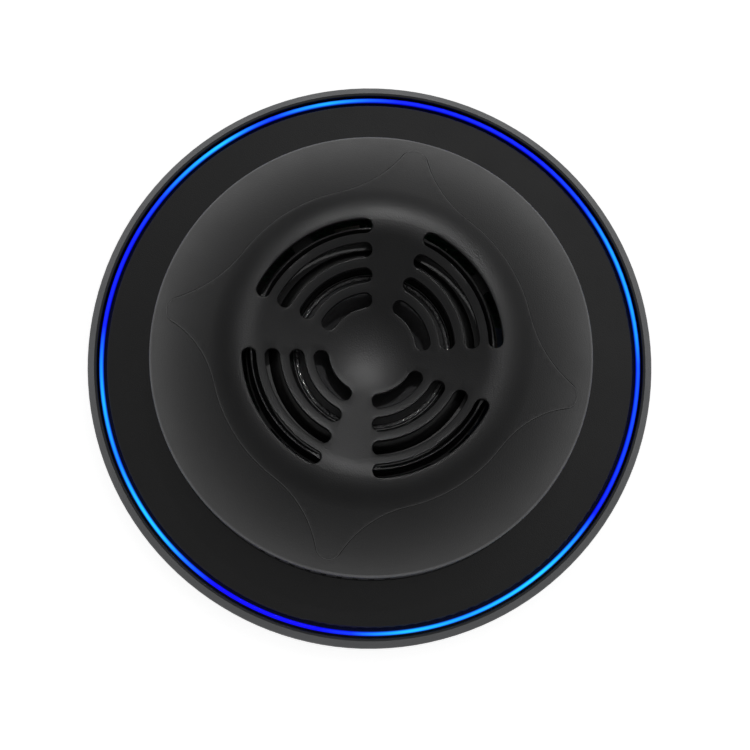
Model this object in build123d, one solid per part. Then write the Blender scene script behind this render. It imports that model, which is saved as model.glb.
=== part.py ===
from build123d import *
import os
from math import cos, radians, sin, tan

os.makedirs("parts", exist_ok=True)

# The monitor lies face up: Z is its axis, and Z = 0 is the back face of the mounting plate.
# All sizes are in millimetres and all turns in degrees. The star's tips point along X and Y.

# Rear housing
device_r = 90.0             # outside of the housing wall
housing_wall = 3.2          # thickness of the outer wall
skirt_z = 0.8               # the housing's back edge stands this far off the mounting surface
wall_top_z = 13.0           # where the chamfer starts
lip_z = 16.0                # top of the housing and of the bezel's outer edge
chamfer_run = 2.3           # how far the chamfer goes inwards
corner_round = 1.2
lip_round = 0.3
floor_z = 6.0               # underside of the housing floor
floor_thick = 2.2
rib_size = 4.0              # ribs that carry the dome's flange
rib_span = 6.0

# Mounting plate with its twist lock
plate_thick = 2.0
plate_r = 54.0
cable_hole_r = 22.0
pad_ring_wall = 2.0
pad_ring_clear = 0.3        # between the plate's pad ring and the housing floor
gang_box_pcd = 83.3
octagon_box_pcd = 88.9
wall_screw_r = 2.25
tab_count = 3
tab_first_angle = 90.0
tab_span = 18.0
tab_reach = 4.0             # how far a tab stands out past the plate
tab_thick = 1.2
tab_z = 3.2                 # underside of a tab
tab_wall = 2.5
hook_span = 12.0
hook_thick = 1.4
hook_leg = 2.2
hook_gap = 0.4              # between a hook and the tab and plate that it grips
lock_stop_gap = 1.2         # turn left between a locked hook and the stop

# Light ring, its board and its lights
ring_gap = 0.75             # between the light ring and the housing wall
ring_width = 1.4
ring_drop = 0.3             # the light ring sits this far below the lip
ring_round = 0.45
ring_foot_width = 4.3
ring_foot_height = 2.7
groove_gap = 1.0            # between the light ring and the bezel
led_board_thick = 1.2
led_board_width = 6.2
led_count = 12
led_first_angle = 20.5
led_size = (3.0, 3.2, 0.9)
led_pocket_clear = 0.4

# Front bezel
bezel_thick = 2.2
bezel_slope = 12.0          # rise of the brim towards the dome
bezel_skirt = 1.6
bezel_round = 0.7
bezel_seat_clear = 0.05     # between the bezel's skirt and the light ring's foot
housing_boss_r = 3.4
boss_clear = 0.3            # between those bosses and the dome's flange

# Dome shell, and the crown's curve: tangent arcs from the axis outwards
dome_r = 68.7
dome_wall = 2.2
dome_gap = 0.15             # between the dome and the bezel's bore
flange_reach = 2.8
flange_drop = 1.8           # underside of the flange, below the lip
flange_thick = 1.9
dish_z = 50.6               # height of the crown at its centre, in the bowl
bowl_r = 43.0               # round bottom of the bowl
bowl_slope = 19.0
crest_r = 18.0
crest_at = 39.5             # where the crown is highest
shoulder_slope = 33.0       # slope of the crown at the star's round sides
flank_end = 50.0            # slope of the crown at the dome's edge
edge_round = 3.5
crown_drop = 2.6            # thickness of the crown, measured along the axis
vent_width = 1.8
vent_rise = 1.5             # bottom of the vents above the board
vent_height = 11.0
vent_count = 9
vent_pitch = 4.2

# Star-shaped grille cover
star_side_r = 49.1
star_tip_r = 64.6
star_tip_round = 4.3
star_flare_at = 25.0        # where the flare leaves the round side, from the tip's axis
star_gap = 0.25
star_proud = 0.25
ledge_width = 2.2
ledge_overlap = 1.5
ledge_thick = 1.6
ledge_clear = 0.05
slot_radii = (15.6, 22.9, 30.3, 37.3)
slot_width = 4.4
slot_span = 65.0            # of a whole slot, its round ends included
cover_screw_at = 55.5       # the cover's screws sit under the star's tips
cover_boss_r = 2.5
cover_cup_r = 4.4
cover_cup_drop = 7.4        # bottom of the screw cups, below the crown's centre
cover_cup_floor = 1.5
cover_cup_clear = 0.25
cover_screw_len = 6.5
boss_seat_clear = 0.1       # between the cover's bosses and the floors of the cups

# Screws
screw_r = 1.4
screw_grip = 0.05           # between a screw's shank and its pilot hole
screw_hole_r = 1.7
pilot_spare = 0.3           # a pilot hole is this much longer than its screw
screw_head_r = 2.9
screw_head_thick = 1.9
screw_head_round = 0.8
screw_slot = (0.7, 2.6, 0.8)   # width, length and depth of each arm of the cross
housing_screw_len = 7.5
board_screw_len = 8.0
speaker_screw_len = 5.6

# Main board
board_r = 63.0
board_standoff = 13.3       # the board stands this far off the floor
board_thick = 1.6
board_screw_at = 54.0
board_boss_r = 3.5

# Network jack, its mouth to the back
jack_width = 16.0
jack_depth = 14.0
jack_mouth_z = 6.2
jack_clear = 0.3
port_width = 11.9
port_depth = 7.2
port_length = 11.5
port_y = 0.6
latch_width = 6.2
latch_depth = 2.4
contact_count = 8
contact_pitch = 1.02
contact_width = 0.45
contact_reach = 1.0
contact_len = 8.0
contact_chamfer = 0.8

# Parts under the board: size, and place of the middle
transformer_size = (20.0, 18.0, 11.0)
transformer_at = (-28.0, 14.0)
transformer_flange = 2.5
transformer_winding_inset = (3.0, 1.5)   # sideways and in height
capacitor_r = 5.0
capacitor_len = 12.3
capacitor_round = 0.8
capacitors_at = ((-22.0, -20.0), (-33.5, -16.0), (26.0, 20.0))

# Parts on the board
shield_size = (26.0, 22.0, 2.8)
shield_wall = 0.4
shield_round = 1.0
shield_at = (-10.0, -38.0)
processor_size = (14.0, 14.0, 1.2)
co2_size = (20.0, 33.0, 11.0)
co2_at = (-47.0, 0.0)
co2_round = 1.5
membrane_size = (14.0, 16.5, 0.4)
membrane_sunk = 0.2         # the membrane lies this far below the sensor's top
gas_r = 4.6
gas_height = 5.0
gas_at = (-14.0, 54.0)
gas_round = 0.7
gas_dish = (2.76, 0.8)       # radius and depth
humidity_size = (7.0, 7.0, 1.0)
humidity_at = (14.0, 54.0)
humidity_chip = (3.0, 3.0, 1.0)
humidity_hole = (0.6, 0.8)   # radius and depth
mic_size = (4.0, 3.0, 1.2)
mic_hole_r = 0.4
mic_at_r = 57.0
mic_angles = (67.5, 247.5)

# Particle sensor
pm_size = (38.0, 35.0, 12.0)
pm_x = 43.0
pm_wall = 1.2
pm_chamber = 14.0
pm_slit_count = 5
pm_slit_width = 1.6
pm_slit_pitch = 3.2
pm_slit_margin = 2.5         # above and below a slit
light_path_r = 1.2
fan_x = 51.0
fan_y = 5.0
fan_r = 9.2
fan_hub_r = 4.0
fan_height = 7.0
fan_blades = 9
fan_blade_thick = 0.8
fan_axle_r = 0.8
fan_bore_clear = 0.2
fan_run_clear = 0.3
fan_inlet_rim = 1.5          # the lid's inlet is this much smaller than the fan
fan_blade_turn = 20.0
fan_blade_root = 0.5         # how far a blade reaches into the hub
bridge_width = 1.4
laser_r = 2.8
laser_len = 7.0
laser_y = -9.0

# Reset button and its switch
button_r = 1.8
button_y = -13.5
button_travel = 0.5
button_collar_r = 3.0
button_collar_thick = 1.0
button_tip_z = 5.6
button_hole_clear = 0.3
switch_size = (6.0, 6.0, 3.0)
switch_gap = 0.1            # left between a pressed button and its switch

# Loudspeaker
basket_r = 38.5
basket_steel = 1.2
basket_drop = 2.0           # top of the basket's flange, below the crown's centre
basket_bore_r = 31.5
basket_seat_r = 21.5
basket_window_span = 52.0
basket_window_low = 2.5      # below and above a window
basket_window_high = 1.5
ear_at = 43.5
ear_r = 3.3
cover_post_r = 2.9
sleeve_r = 37.0             # the cover's sleeve, which closes on the speaker's gasket
sleeve_wall = 0.8
speaker_gasket_width = 3.0
speaker_gasket_thick = 1.6
surround_roll_r = 3.6
surround_skin = 0.5
surround_lip_r = 34.4
cone_r = 24.0
cone_edge_clear = 0.3       # between the moving cone and the surround's foot
cone_edge_drop = 0.4        # top of the cone, below the basket's flange
cone_depth = 8.2
neck_rise = 5.0             # the cone's neck stands this far above the basket's seat
cone_skin = 0.7
cone_edge_width = 1.0        # flat edge that the surround is glued to
cap_r = 10.5
cap_rise = 3.2
cap_glue = 0.1
cap_skin = 0.4
coil_r = 9.3
coil_wall = 0.5
coil_winding = 0.4
coil_winding_len = 4.4
coil_reach = 1.0             # the coil hangs this far below the top plate
spider_r = 21.0
spider_skin = 0.4
spider_clear = 0.3
spider_wave = 0.8
spider_step = 1.6
spider_foot = 1.0            # flat rim that is glued to the basket
top_plate_thick = 3.0
top_plate_gap = 0.4         # around the coil's winding
magnet_r = 21.5
magnet_bore_r = 12.0
magnet_thick = 5.6
pole_gap = 0.5
back_plate_thick = 2.4
back_plate_inset = 0.5       # the back plate is this much smaller than the magnet
back_plate_round = 0.8
terminal_angle = 112.5
terminal_at = 35.0
terminal_size = (4.0, 8.0, 2.0)
lead_r = 0.8
lead_pitch = 2.6
lead_bend = 6.0
lead_drop = 3.5              # half the height in which the leads step outwards
socket_at = 40.5
socket_size = (5.0, 8.0, 3.2)

# Flat cable from the board to the light ring
ribbon_angle = 157.5
ribbon_width = 6.0
ribbon_thick = 0.4
ribbon_rise_at = 59.0
ribbon_overlap = 1.0         # how far the flat cable lies on the ring board
ribbon_bend = 3.0

# Places that follow from the sizes above
ring_top_z = lip_z - ring_drop
flange_z = lip_z - flange_drop
cover_cup_z = dish_z - cover_cup_drop
basket_top = dish_z - basket_drop
cone_top = basket_top - cone_edge_drop
cone_neck_z = cone_top - cone_depth
inner_r = device_r - housing_wall
floor_top = floor_z + floor_thick
board_z = floor_top + board_standoff
vent_low_z = board_z + vent_rise
ring_outer_r = inner_r - ring_gap
ring_inner_r = ring_outer_r - ring_width
bezel_r = ring_inner_r - groove_gap
led_board_top = floor_top + led_board_thick
ring_foot_top = led_board_top + ring_foot_height
led_board_r = ring_outer_r - led_board_width
led_r = ring_outer_r - ring_foot_width / 2
flange_r = dome_r + flange_reach
housing_screw_at = flange_r + boss_clear + housing_boss_r
board_top = board_z + board_thick
diagonals = (45.0, 135.0, 225.0, 315.0)
crosses = (0.0, 90.0, 180.0, 270.0)
tab_angles = [tab_first_angle + 360.0 / tab_count * i for i in range(tab_count)]
basket_low = cone_neck_z - neck_rise
spider_z = basket_low + basket_steel
surround_in_r = cone_r + cone_edge_clear
pilot_r = screw_r + screw_grip


def spot(radius, angle, z=0.0):
    """A place on a circle about the axis, turned to face outwards."""
    return Rot(0, 0, angle) * Pos(radius, 0, z)


def rod(radius, low, high):
    return Pos(0, 0, low) * extrude(Circle(radius), high - low)


def tube(inner, outer, low, high):
    return rod(outer, low, high) - rod(inner, low, high)


def block(size, x=0.0, y=0.0, low=0.0):
    """A box that stands on the height low."""
    return Pos(x, y, low) * Box(*size, align=(Align.CENTER, Align.CENTER, Align.MIN))


def turned(*points):
    """A solid of revolution from an outline of radius and height."""
    return revolve(Plane.XZ * make_face(Polyline(*points, close=True)), Axis.Z)


def sector(inner, outer, low, high, middle, span):
    """The part of a ring that spans some degrees about the angle middle."""
    far = 2 * outer
    side = far * tan(radians(span / 2))
    wedge = make_face(Polyline((0, 0), (far, -side), (far, side), close=True))
    return Rot(0, 0, middle) * (tube(inner, outer, low, high) & Pos(0, 0, low) * extrude(wedge, high - low))


def screw(length):
    """A pan-head screw: its head stands on Z = 0 and its shank points down."""
    head = fillet(rod(screw_head_r, 0, screw_head_thick).edges().sort_by(Axis.Z)[-1], screw_head_round)
    slot = block(screw_slot, low=screw_head_thick - screw_slot[2])
    cross = slot + Rot(0, 0, 90) * slot
    return head + rod(screw_r, -length, 0) - cross


def export(name, shape):
    solids = shape.solids()
    export_step(Compound(solids) if len(solids) > 1 else solids[0], f"parts/{name}.step")


# The crown's surface, which the dome shell and the grille cover share


def crown_arcs(rise):
    bowl = JernArc((0, dish_z + rise), (1, 0), bowl_r, bowl_slope)
    side_run = crest_at - (bowl_r + crest_r) * sin(radians(bowl_slope))
    side = Line(bowl @ 1, bowl @ 1 + (bowl % 1) * (side_run / cos(radians(bowl_slope))))
    crest = JernArc(side @ 1, side % 1, crest_r, -bowl_slope)
    shoulder_r = (star_side_r - crest_at) / sin(radians(shoulder_slope))
    shoulder = JernArc(crest @ 1, crest % 1, shoulder_r, -shoulder_slope)
    flank_run = dome_r - edge_round * (1 - sin(radians(flank_end))) - star_side_r
    flank_r = flank_run / (sin(radians(flank_end)) - sin(radians(shoulder_slope)))
    flank = JernArc(shoulder @ 1, shoulder % 1, flank_r, shoulder_slope - flank_end)
    edge = JernArc(flank @ 1, flank % 1, edge_round, flank_end - 90.0)
    return [bowl, side, crest, shoulder, flank, edge]


def under_crown(rise, low, radius=dome_r):
    """All that lies below the crown's surface moved up by rise, out to a radius."""
    arcs = crown_arcs(rise)
    start, end = arcs[0] @ 0, arcs[-1] @ 1
    walls = Polyline((end.X, end.Y), (end.X, low), (0, low), (0, start.Y))
    outline = make_face([*arcs, *walls.edges()])
    body = revolve(Plane.XZ * outline, Axis.Z)
    return body & rod(radius, low, dish_z + dome_r) if radius < dome_r else body


def star(grow=0.0):
    """The star's outline, or a line parallel to it: round sides, flares and round tips."""
    side, tip = star_side_r + grow, star_tip_round + grow
    tip_centre = Vector(star_tip_r - star_tip_round, 0)
    inner = side - tip
    away = Vector(cos(radians(star_flare_at)), sin(radians(star_flare_at)))
    reach = (tip_centre.X ** 2 - inner ** 2) / (2 * (tip_centre.X * away.X - inner))
    flare_centre, flare_r = away * reach, reach - side
    side_end = away * side
    tip_end = tip_centre + (flare_centre - tip_centre).normalized() * tip
    flare_mid = flare_centre + ((side_end + tip_end) * 0.5 - flare_centre).normalized() * flare_r
    side_mid = Vector(side, 0).rotate(Axis.Z, 45)
    nose = ThreePointArc((tip_end.X, -tip_end.Y), (tip_centre.X + tip, 0), tip_end)
    flare = ThreePointArc(tip_end, flare_mid, side_end)
    flat = ThreePointArc(side_end, side_mid, (side_end.Y, side_end.X))
    next_flare = Rot(0, 0, 90) * mirror(flare, Plane.XZ)
    quarter = [nose, flare, flat, *next_flare.edges()]
    return make_face([Rot(0, 0, angle) * edge for angle in crosses for edge in quarter])


def star_prism(grow=0.0):
    return extrude(star(grow), dish_z + dome_r)


# Mounting plate

def make_mounting_plate():
    plate = rod(plate_r, 0, plate_thick)
    plate += rod(cable_hole_r + pad_ring_wall, 0, floor_z - pad_ring_clear)
    for angle in tab_angles:
        top = tab_z + tab_thick
        plate += sector(plate_r - tab_wall, plate_r, 0, top, angle, tab_span)
        plate += sector(plate_r - tab_wall, plate_r + tab_reach, tab_z, top, angle, tab_span)
        stop_span = (tab_span - hook_span) / 2 - lock_stop_gap
        stop_at = angle - tab_span / 2 + stop_span / 2
        plate += sector(plate_r - tab_wall, plate_r + tab_reach, 0, top, stop_at, stop_span)
    plate -= rod(cable_hole_r, -1, floor_z)
    for angle in diagonals:
        plate -= spot(gang_box_pcd / 2, angle) * rod(wall_screw_r, -1, plate_thick + 1)
    for angle in crosses:
        plate -= spot(octagon_box_pcd / 2, angle) * rod(wall_screw_r, -1, plate_thick + 1)
    return plate


# Rear housing

def make_rear_housing():
    outline = make_face(Polyline((0, floor_z), (inner_r, floor_z), (inner_r, skirt_z), (device_r, skirt_z),
                                 (device_r, wall_top_z), (device_r - chamfer_run, lip_z), (inner_r, lip_z),
                                 (inner_r, floor_top), (0, floor_top), close=True))
    corners = outline.vertices()
    outline = fillet(corners.filter_by_position(Axis.X, device_r - 0.01, device_r + 0.01), corner_round)
    lip = outline.vertices().group_by(Axis.Y)[-1].sort_by(Axis.X)[0]
    outline = fillet(lip, lip_round)
    housing = revolve(Plane.XZ * outline, Axis.Z)
    for angle in crosses:
        housing += sector(flange_r - rib_size, flange_r, floor_top, flange_z, angle, rib_span)
    for angle in diagonals:
        housing += spot(board_screw_at, angle) * rod(board_boss_r, floor_top, board_z)
        housing -= spot(board_screw_at, angle) * rod(pilot_r, floor_top, board_z)
        housing -= spot(housing_screw_at, angle) * rod(screw_hole_r, floor_z, floor_top)
    foot_top = tab_z - hook_gap
    leg_r = plate_r + tab_reach + hook_gap
    for angle in tab_angles:
        housing += sector(leg_r, leg_r + hook_leg, foot_top - hook_thick, floor_z, angle, hook_span)
        housing += sector(plate_r + hook_gap, leg_r, foot_top - hook_thick, foot_top, angle, hook_span)
    housing -= block((jack_width + 2 * jack_clear, jack_depth + 2 * jack_clear, floor_thick), low=floor_z)
    housing -= Pos(0, button_y) * rod(button_r + button_hole_clear, floor_z, floor_top)
    return housing


def make_housing_screws():
    return [spot(housing_screw_at, angle, floor_z) * Rot(180, 0, 0) * screw(housing_screw_len)
            for angle in diagonals]


# Light ring

def led_places():
    return [spot(led_r, led_first_angle + 360.0 / led_count * i, led_board_top) for i in range(led_count)]


def make_light_ring():
    foot_r = ring_outer_r - ring_foot_width
    outline = make_face(Polyline((foot_r, led_board_top), (ring_outer_r, led_board_top), (ring_outer_r, ring_top_z),
                                 (ring_inner_r, ring_top_z), (ring_inner_r, ring_foot_top),
                                 (foot_r, ring_foot_top), close=True))
    outline = fillet(outline.vertices().group_by(Axis.Y)[-1], ring_round)
    ring = revolve(Plane.XZ * outline, Axis.Z)
    pocket = [side + 2 * led_pocket_clear for side in led_size[:2]] + [led_size[2] + led_pocket_clear]
    for place in led_places():
        ring -= place * block(pocket)
    return ring


def make_led_ring_board():
    return tube(led_board_r, ring_outer_r, floor_top, led_board_top)


def make_ring_leds():
    return [place * block(led_size) for place in led_places()]


def make_light_ring_ribbon():
    start_r = led_board_r + ribbon_overlap
    run_z = led_board_top + ribbon_thick / 2
    path = FilletPolyline((start_r, run_z), (ribbon_rise_at, run_z), (ribbon_rise_at, board_z), radius=ribbon_bend)
    strip = extrude(Plane.XZ * trace(path, ribbon_thick), ribbon_width / 2, both=True)
    return Rot(0, 0, ribbon_angle) * strip


# Front bezel

def make_front_bezel():
    rise = tan(radians(bezel_slope))
    bore_r, skirt_r = dome_r + dome_gap, bezel_r - bezel_skirt
    skirt_low = ring_foot_top + bezel_seat_clear

    def top(radius):
        return lip_z + (bezel_r - radius) * rise

    outline = make_face(Polyline((bezel_r, lip_z), (bezel_r, skirt_low), (skirt_r, skirt_low),
                                 (skirt_r, top(skirt_r) - bezel_thick), (bore_r, top(bore_r) - bezel_thick),
                                 (bore_r, top(bore_r)), close=True))
    rim = outline.vertices().group_by(Axis.X)[-1].sort_by(Axis.Y)[-1]
    outline = fillet(rim, bezel_round)
    bezel = revolve(Plane.XZ * outline, Axis.Z)
    boss_top = top(housing_screw_at + housing_boss_r) - bezel_thick / 4
    for angle in diagonals:
        bezel += spot(housing_screw_at, angle) * rod(housing_boss_r, floor_top, boss_top)
        bezel -= spot(housing_screw_at, angle) * rod(pilot_r, floor_top, floor_z + housing_screw_len + pilot_spare)
    return bezel


# Dome shell

def make_dome_shell():
    inner_low = flange_z - 1
    shell = under_crown(0, flange_z) - under_crown(-crown_drop, inner_low, dome_r - dome_wall)
    band = under_crown(0, flange_z) - under_crown(-crown_drop - ledge_thick, inner_low)
    shell += band & (star_prism(ledge_overlap) - star_prism(-ledge_width))
    seat = under_crown(-crown_drop - ledge_clear, inner_low)
    for angle in crosses:
        cup = spot(cover_screw_at, angle) * rod(cover_cup_r, cover_cup_z, dish_z + dome_r)
        shell += cup & seat
    shell -= star_prism() - seat
    for angle in crosses:
        place = spot(cover_screw_at, angle)
        shell -= place * rod(cover_boss_r + cover_cup_clear, cover_cup_z + cover_cup_floor, dish_z + dome_r)
        shell -= place * rod(screw_hole_r, cover_cup_z, dish_z)
    shell += tube(dome_r - dome_wall, flange_r, flange_z, flange_z + flange_thick)
    vent = block((4 * dome_wall, vent_width, vent_height), low=vent_low_z)
    for middle in crosses:
        for i in range(vent_count):
            shell -= spot(dome_r, middle + (i - (vent_count - 1) / 2) * vent_pitch) * vent
    return shell


# Grille cover

def slot_outline(radius):
    """One curved slot about the X axis, as wide as a slot and with round ends."""
    end = radians(slot_span / 2) - slot_width / 2 / radius
    inner, outer = radius - slot_width / 2, radius + slot_width / 2

    def point(r, turn):
        return (r * cos(turn), r * sin(turn))

    tip_turn = radians(slot_span / 2)
    return make_face([
        ThreePointArc(point(outer, -end), point(outer, 0), point(outer, end)),
        ThreePointArc(point(outer, end), point(radius, tip_turn), point(inner, end)),
        ThreePointArc(point(inner, end), point(inner, 0), point(inner, -end)),
        ThreePointArc(point(inner, -end), point(radius, -tip_turn), point(outer, -end)),
    ])


def make_grille_cover():
    skin = under_crown(star_proud, 0) - under_crown(-crown_drop, -1)
    cover = skin & star_prism(-star_gap)
    for angle in diagonals:
        for radius in slot_radii:
            cover -= Rot(0, 0, angle) * extrude(slot_outline(radius), dish_z + dome_r)
    seat = under_crown(-crown_drop / 2, 0)
    for angle in crosses:
        boss_low = cover_cup_z + cover_cup_floor + boss_seat_clear
        cover += seat & spot(cover_screw_at, angle) * rod(cover_boss_r, boss_low, dish_z + dome_r)
        cover -= spot(cover_screw_at, angle) * rod(pilot_r, cover_cup_z, cover_cup_z + cover_screw_len + pilot_spare)
    cover += seat & tube(sleeve_r - sleeve_wall, sleeve_r, basket_top + speaker_gasket_thick, dish_z + dome_r)
    for angle in diagonals:
        cover += seat & spot(ear_at, angle) * rod(cover_post_r, basket_top, dish_z + dome_r)
        top = basket_top - basket_steel + speaker_screw_len + pilot_spare
        cover -= spot(ear_at, angle) * rod(pilot_r, basket_top, top)
    return cover


def make_grille_screws():
    return [spot(cover_screw_at, angle, cover_cup_z) * Rot(180, 0, 0) * screw(cover_screw_len) for angle in crosses]


# Main board and what stands on it

def make_main_board():
    board = rod(board_r, board_z, board_top)
    for angle in diagonals:
        board -= spot(board_screw_at, angle) * rod(screw_hole_r, board_z, board_top)
    return board


def make_board_screws():
    return [spot(board_screw_at, angle, board_top) * screw(board_screw_len) for angle in diagonals]


def make_network_jack():
    jack = block((jack_width, jack_depth, board_z - jack_mouth_z), low=jack_mouth_z)
    jack -= block((port_width, port_depth, port_length), y=port_y, low=jack_mouth_z)
    latch_y = port_y - (port_depth + latch_depth) / 2
    return jack - block((latch_width, latch_depth, port_length), y=latch_y, low=jack_mouth_z)


def make_jack_contacts():
    wall_y = port_y + port_depth / 2 - contact_reach / 2
    low = jack_mouth_z + port_length - contact_len
    size = (contact_width, contact_reach, contact_len)
    middle = (contact_count - 1) / 2
    contact = chamfer(block(size).edges().filter_by(Axis.X).group_by(Axis.Z)[0].sort_by(Axis.Y)[0], contact_chamfer)
    return [Pos((i - middle) * contact_pitch, wall_y, low) * contact for i in range(contact_count)]


def make_power_transformer():
    width, depth, height = transformer_size
    x, y = transformer_at
    low = board_z - height
    core = block((width, depth - 2 * transformer_flange, height), x, y, low)
    foot = block((width, depth, transformer_flange), x, y, board_z - transformer_flange)
    inset, lift = transformer_winding_inset
    winding = block((width - 2 * inset, depth, height - 2 * lift), x, y, low + lift)
    return core + foot + winding


def make_capacitors():
    can = rod(capacitor_r, board_z - capacitor_len, board_z)
    can = fillet(can.edges().group_by(Axis.Z)[0], capacitor_round)
    return [Pos(x, y) * can for x, y in capacitors_at]


def make_processor_shield():
    width, depth, height = shield_size
    can = fillet(block(shield_size).edges().filter_by(Axis.Z), shield_round)
    can -= block((width - 2 * shield_wall, depth - 2 * shield_wall, height - shield_wall))
    return Pos(*shield_at, board_top) * can


def make_processor():
    return block(processor_size, *shield_at, board_top)


def make_co2_sensor():
    body = block(co2_size, *co2_at, board_top)
    body = fillet(body.edges().filter_by(Axis.Z), co2_round)
    width, depth, thick = membrane_size
    return body - block((width, depth, thick + membrane_sunk), *co2_at, membrane_low())


def membrane_low():
    return board_top + co2_size[2] - membrane_sunk - membrane_size[2]


def make_co2_membrane():
    return block(membrane_size, *co2_at, membrane_low())


def make_gas_sensor():
    can = rod(gas_r, board_top, board_top + gas_height)
    can = fillet(can.edges().group_by(Axis.Z)[-1], gas_round)
    dish_r, dish_depth = gas_dish
    top = board_top + gas_height
    return Pos(*gas_at) * (can - rod(dish_r, top - dish_depth, top))


def make_humidity_sensor():
    chip_low = board_top + humidity_size[2]
    chip_top = chip_low + humidity_chip[2]
    chip = block(humidity_chip, *humidity_at, chip_low)
    hole = Pos(*humidity_at) * rod(humidity_hole[0], chip_top - humidity_hole[1], chip_top)
    return block(humidity_size, *humidity_at, board_top) + chip - hole


def make_microphones():
    case = block(mic_size) - rod(mic_hole_r, mic_size[2] / 2, mic_size[2])
    return [spot(mic_at_r, angle, board_top) * case for angle in mic_angles]


# Particle sensor

def make_particle_sensor_base():
    width, depth, height = pm_size
    low, top = board_top, board_top + height - pm_wall
    base = block((width, depth, height - pm_wall), pm_x, 0, low)
    base -= block((width - 2 * pm_wall, depth - 2 * pm_wall, height), pm_x, 0, low + pm_wall)
    chamber_x = pm_x - width / 2 + pm_wall + pm_chamber / 2
    chamber = block((pm_chamber, depth - 2 * pm_wall, top - low - pm_wall), chamber_x, 0, low + pm_wall)
    along_y = Rot(90, 0, 0)
    bore = Pos(chamber_x, laser_y, low + height / 2) * along_y * Cylinder(laser_r + screw_grip, laser_len)
    light_path = Pos(chamber_x, 0, low + height / 2) * along_y * Cylinder(light_path_r, depth / 2)
    base += chamber - bore - light_path
    axle_low = low + pm_wall
    base += Pos(fan_x, fan_y) * rod(fan_axle_r, axle_low, axle_low + fan_run_clear + fan_height)
    for i in range(pm_slit_count):
        y = fan_y + (i - (pm_slit_count - 1) / 2) * pm_slit_pitch
        slit = (4 * pm_wall, pm_slit_width, height - 2 * pm_slit_margin)
        base -= block(slit, pm_x + width / 2, y, low + pm_slit_margin)
    return base


def make_particle_sensor_lid():
    width, depth, height = pm_size
    low = board_top + height - pm_wall
    lid = block((width, depth, pm_wall), pm_x, 0, low)
    inlet = tube(fan_hub_r, fan_r - fan_inlet_rim, low, low + pm_wall)
    return lid - Pos(fan_x, fan_y) * inlet + fan_bridge(low)


def fan_bridge(low):
    """Two bars that hold the middle of the fan's inlet."""
    bar = block((2 * fan_r, bridge_width, pm_wall), low=low)
    return Pos(fan_x, fan_y) * (bar + Rot(0, 0, 90) * bar)


def make_particle_fan():
    low = board_top + pm_wall + fan_run_clear
    rotor = rod(fan_hub_r, low, low + fan_height) + rod(fan_r, low, low + fan_blade_thick)
    blade = block((fan_r - fan_hub_r + fan_blade_root, fan_blade_thick, fan_height), low=low)
    reach = (fan_r + fan_hub_r - fan_blade_root) / 2
    for i in range(fan_blades):
        rotor += spot(reach, 360.0 / fan_blades * i) * Rot(0, 0, fan_blade_turn) * blade
    rotor &= rod(fan_r, low, low + fan_height)
    rotor -= rod(fan_axle_r + fan_bore_clear, low, low + fan_height)
    return Pos(fan_x, fan_y) * rotor


def make_laser_diode():
    chamber_x = pm_x - pm_size[0] / 2 + pm_wall + pm_chamber / 2
    barrel = Cylinder(laser_r, laser_len)
    return Pos(chamber_x, laser_y, board_top + pm_size[2] / 2) * Rot(90, 0, 0) * barrel


# Reset button

def make_reset_button():
    switch_low = board_z - switch_size[2]
    top = switch_low - switch_gap - button_travel
    button = rod(button_r, button_tip_z, top)
    button += rod(button_collar_r, floor_top, floor_top + button_collar_thick)
    return Pos(0, button_y) * button


def make_reset_switch():
    return block(switch_size, 0, button_y, board_z - switch_size[2])


# Loudspeaker

def make_speaker_basket():
    low, top = basket_low, basket_top
    under = top - basket_steel
    basket = turned((magnet_bore_r, low), (basket_seat_r, low), (basket_bore_r, under), (basket_r, under),
                    (basket_r, top), (basket_bore_r - basket_steel, top),
                    (basket_seat_r - basket_steel, low + basket_steel), (magnet_bore_r, low + basket_steel))
    for angle in crosses:
        basket -= sector(basket_seat_r, basket_bore_r - basket_steel, low + basket_window_low,
                         under - basket_window_high, angle, basket_window_span)
    for angle in diagonals:
        ear = spot(ear_at, angle) * rod(ear_r, under, top)
        web = block((ear_at - basket_bore_r, 2 * ear_r, basket_steel), low=under)
        web = spot((ear_at + basket_bore_r) / 2, angle) * web
        basket += (ear + web) - rod(basket_bore_r, under, top)
        basket -= spot(ear_at, angle) * rod(screw_hole_r, under, top)
    return basket


def make_speaker_screws():
    place_z = basket_top - basket_steel
    return [spot(ear_at, angle, place_z) * Rot(180, 0, 0) * screw(speaker_screw_len) for angle in diagonals]


def make_speaker_gasket():
    inner = sleeve_r - (sleeve_wall + speaker_gasket_width) / 2
    return tube(inner, inner + speaker_gasket_width, basket_top, basket_top + speaker_gasket_thick)


def make_surround():
    centre_r = surround_in_r + surround_roll_r
    skin = Circle(surround_roll_r) - Circle(surround_roll_r - surround_skin)
    skin = Plane.XZ * (Pos(centre_r, basket_top) * skin)
    roll = revolve(skin, Axis.Z) & tube(1, basket_r, basket_top, basket_top + 2 * surround_roll_r)
    lip_in = centre_r + surround_roll_r - surround_skin
    return roll + tube(lip_in, surround_lip_r, basket_top, basket_top + surround_skin)


def make_speaker_cone():
    return turned((coil_r - coil_wall, cone_neck_z), (coil_r, cone_neck_z), (cone_r, cone_top - cone_skin),
                  (cone_r, cone_top), (cone_r - cone_edge_width, cone_top),
                  (coil_r - coil_wall, cone_neck_z + cone_skin))


def make_dust_cap():
    """A thin dome glued on the cone above the coil."""
    slope = (cone_top - cone_skin - cone_neck_z) / (cone_r - coil_r)
    seat_z = cone_neck_z + cone_skin + (cap_r - coil_r + coil_wall) * slope + cap_glue
    radius = (cap_r ** 2 + cap_rise ** 2) / (2 * cap_rise)
    ball = Pos(0, 0, seat_z + cap_rise - radius) * (Sphere(radius) - Sphere(radius - cap_skin))
    return ball & rod(cap_r, seat_z, seat_z + 2 * cap_rise)


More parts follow.
